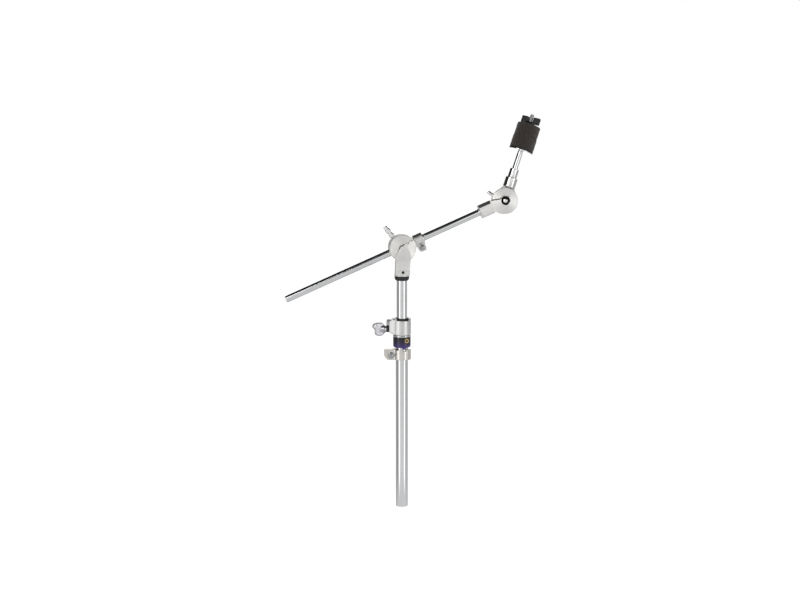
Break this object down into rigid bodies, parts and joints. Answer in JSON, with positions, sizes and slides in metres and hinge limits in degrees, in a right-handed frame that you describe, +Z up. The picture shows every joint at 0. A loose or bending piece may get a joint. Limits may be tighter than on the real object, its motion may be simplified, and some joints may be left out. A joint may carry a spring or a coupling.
{
  "type": "cymbal boom stand",
  "caption": "Top section of a cymbal stand: tube with height clamp, tilting boom holder, knurled boom rod and a tilter with a felted threaded post.",
  "frame": {"origin": "centre of the lower tube's bottom end", "axes": "+Z up along the stand tube, +X towards the cymbal post along the boom, -Y is the front, where the tilter discs face"},
  "size_m": [0.4583, 0.0637, 0.7015],
  "materials": {
    "tube_chrome": "polished chrome-plated steel tube",
    "rod_chrome": "chrome-plated knurled steel rod",
    "post_chrome": "chrome-plated turned steel",
    "wing_chrome": "chrome-plated zinc die casting",
    "lock_zinc": "warm nickel and chrome plated die casting",
    "satin_casting": "satin chrome on a die casting",
    "bolt_steel": "bright zinc-plated steel fastener",
    "black_nylon": "moulded black nylon",
    "black_screw": "blackened steel",
    "indigo_nylon": "dark indigo nylon, a little glossy",
    "natural_nylon": "natural white nylon",
    "gold_trim": "gold-coloured ring",
    "felt": "pressed dark brown-grey wool felt",
    "liner_fibre": "pressed fibre friction disc"
  },
  "bodies": {
    "lower_stand": {"lower_tube": "tube_chrome", "clamp_collar": "indigo_nylon", "badge_ring": "gold_trim", "clamp_trim_ring": "post_chrome", "clamp_housing": "satin_casting", "clamp_bush": "black_nylon"},
    "tube_lock": {"tube_lock_band": "lock_zinc"},
    "tube_lock_key": {"tube_lock_screw": "bolt_steel"},
    "tube_lock_nut_body": {"tube_lock_nut": "bolt_steel"},
    "clamp_pad": {"clamp_pressure_pad": "bolt_steel"},
    "clamp_washer": {"clamp_bolt_washer": "black_nylon"},
    "clamp_bolt": {"clamp_wing_bolt": "wing_chrome"},
    "tube_slide": {"upper_tube_plug": "black_nylon"},
    "upper_stand": {"upper_tube": "tube_chrome", "bracket_ferrule": "black_nylon", "bracket_casting": "satin_casting", "hub_ring_nut": "bolt_steel", "holder_liner": "liner_fibre"},
    "set_screw": {"bracket_set_screw": "black_screw"},
    "hub": {"boom_hub": "satin_casting", "hub_eye_bolt": "bolt_steel", "hub_snap_ring": "bolt_steel"},
    "hub_washer_body": {"hub_washer": "bolt_steel"},
    "hub_nut": {"hub_wing_nut": "wing_chrome"},
    "boom_lock": {"boom_lock_band": "lock_zinc"},
    "boom_lock_key": {"boom_lock_screw": "bolt_steel"},
    "boom_lock_nut_body": {"boom_lock_nut": "bolt_steel"},
    "boom": {"boom_rod": "rod_chrome", "boom_end_cap": "rod_chrome", "tilter_socket": "satin_casting", "socket_pin": "bolt_steel", "tilter_pivot_bolt": "bolt_steel", "tilter_liner": "liner_fibre"},
    "tilter_washer_body": {"tilter_washer": "bolt_steel"},
    "tilter_nut": {"tilter_wing_nut": "wing_chrome"},
    "cymbal_holder": {"tilter_body": "satin_casting", "post_collar": "post_chrome", "post_lock_nut": "post_chrome", "cymbal_post": "post_chrome", "seat_washer": "post_chrome", "seat_cup": "black_nylon", "post_sleeve": "natural_nylon", "lower_felt": "felt"},
    "top_felt": {"upper_felt": "felt"},
    "nut_washer_body": {"nut_washer": "bolt_steel"},
    "cymbal_nut": {"cymbal_wing_nut": "wing_chrome"}
  },
  "joints": [
    {"name": "tube_lock_slide", "type": "slide", "parent": "lower_stand", "child": "tube_lock", "axis": [0, 0, 1], "range_m": [-0.24, 0]},
    {"name": "tube_lock_screw_turn", "type": "hinge", "parent": "tube_lock", "child": "tube_lock_key", "pos_m": [-0.0204, -0.012, 0.27775], "axis": [0, -1, 0], "range_deg": [0, 756]},
    {"name": "tube_lock_nut_travel", "type": "slide", "parent": "tube_lock", "child": "tube_lock_nut_body", "axis": [0, 1, 0], "range_m": [0, 0.0016]},
    {"name": "clamp_bolt_turn", "type": "hinge", "parent": "clamp_washer", "child": "clamp_bolt", "pos_m": [-0.03913, -0.00832, 0.3255], "axis": [-0.9781, -0.2079, 0], "range_deg": [0, 1134]},
    {"name": "clamp_washer_travel", "type": "slide", "parent": "lower_stand", "child": "clamp_washer", "axis": [-0.9781, -0.2079, 0], "range_m": [0, 0.00375]},
    {"name": "clamp_pad_travel", "type": "slide", "parent": "lower_stand", "child": "clamp_pad", "axis": [-0.9781, -0.2079, 0], "range_m": [0, 0.0039]},
    {"name": "height_slide", "type": "slide", "parent": "lower_stand", "child": "tube_slide", "axis": [0, 0, 1], "range_m": [-0.04, 0.12]},
    {"name": "upper_tube_turn", "type": "hinge", "parent": "tube_slide", "child": "upper_stand", "pos_m": [0, 0, 0.3], "axis": [0, 0, 1], "continuous": true},
    {"name": "set_screw_turn", "type": "hinge", "parent": "upper_stand", "child": "set_screw", "pos_m": [0, -0.0115, 0.4263], "axis": [0, -1, 0], "range_deg": [0, 720]},
    {"name": "boom_tilt", "type": "hinge", "parent": "upper_stand", "child": "hub", "pos_m": [0, 0, 0.469], "axis": [0, -1, 0], "range_deg": [-38.5, 24]},
    {"name": "hub_nut_turn", "type": "hinge", "parent": "hub_washer_body", "child": "hub_nut", "pos_m": [0, 0, 0.469], "axis": [0, 1, 0], "range_deg": [0, 1134]},
    {"name": "hub_washer_travel", "type": "slide", "parent": "hub", "child": "hub_washer_body", "axis": [0, 1, 0], "range_m": [0, 0.00375]},
    {"name": "boom_slide", "type": "slide", "parent": "hub", "child": "boom_lock", "axis": [0.9171, 0, 0.3987], "range_m": [0, 0.16]},
    {"name": "boom_lock_screw_turn", "type": "hinge", "parent": "boom_lock", "child": "boom_lock_key", "pos_m": [0.03627, 0.002, 0.46885], "axis": [0, -1, 0], "range_deg": [0, 756]},
    {"name": "boom_lock_nut_travel", "type": "slide", "parent": "boom_lock", "child": "boom_lock_nut_body", "axis": [0, 1, 0], "range_m": [0, 0.0016]},
    {"name": "boom_roll", "type": "hinge", "parent": "boom_lock", "child": "boom", "pos_m": [0, 0.002, 0.469], "axis": [0.9171, 0, 0.3987], "continuous": true},
    {"name": "tilter_nut_turn", "type": "hinge", "parent": "tilter_washer_body", "child": "tilter_nut", "pos_m": [0.18396, 0.002, 0.54899], "axis": [0.0555, 0.9903, -0.1276], "range_deg": [0, 1134]},
    {"name": "tilter_washer_travel", "type": "slide", "parent": "boom", "child": "tilter_washer_body", "axis": [0.0555, 0.9903, -0.1276], "range_m": [0, 0.00375]},
    {"name": "tilter_turn", "type": "hinge", "parent": "boom", "child": "cymbal_holder", "pos_m": [0.18396, 0.002, 0.54899], "axis": [0.0555, 0.9903, -0.1276], "range_deg": [-62, 92]},
    {"name": "cymbal_nut_turn", "type": "hinge", "parent": "nut_washer_body", "child": "cymbal_nut", "pos_m": [0.18413, 0.00497, 0.54861], "axis": [0.3317, 0.1023, 0.9378], "range_deg": [0, 2646]},
    {"name": "nut_washer_travel", "type": "slide", "parent": "cymbal_holder", "child": "nut_washer_body", "axis": [0.3317, 0.1023, 0.9378], "range_m": [0, 0.00875]},
    {"name": "felt_lift", "type": "slide", "parent": "cymbal_holder", "child": "top_felt", "axis": [0.3317, 0.1023, 0.9378], "range_m": [0, 0.0091]}
  ],
  "couplings": [
    {"joint": "tube_lock_screw_turn", "follows": "tube_lock_nut_travel", "rad_per_m": 7854},
    {"joint": "clamp_bolt_turn", "follows": "clamp_washer_travel", "rad_per_m": 5026.5},
    {"joint": "clamp_pad_travel", "follows": "clamp_washer_travel", "ratio": 1},
    {"joint": "hub_nut_turn", "follows": "hub_washer_travel", "rad_per_m": 5026.5},
    {"joint": "boom_lock_screw_turn", "follows": "boom_lock_nut_travel", "rad_per_m": 7854},
    {"joint": "tilter_nut_turn", "follows": "tilter_washer_travel", "rad_per_m": 5026.5},
    {"joint": "cymbal_nut_turn", "follows": "nut_washer_travel", "rad_per_m": 5026.5},
    {"joint": "felt_lift", "follows": "nut_washer_travel", "ratio": 1}
  ]
}
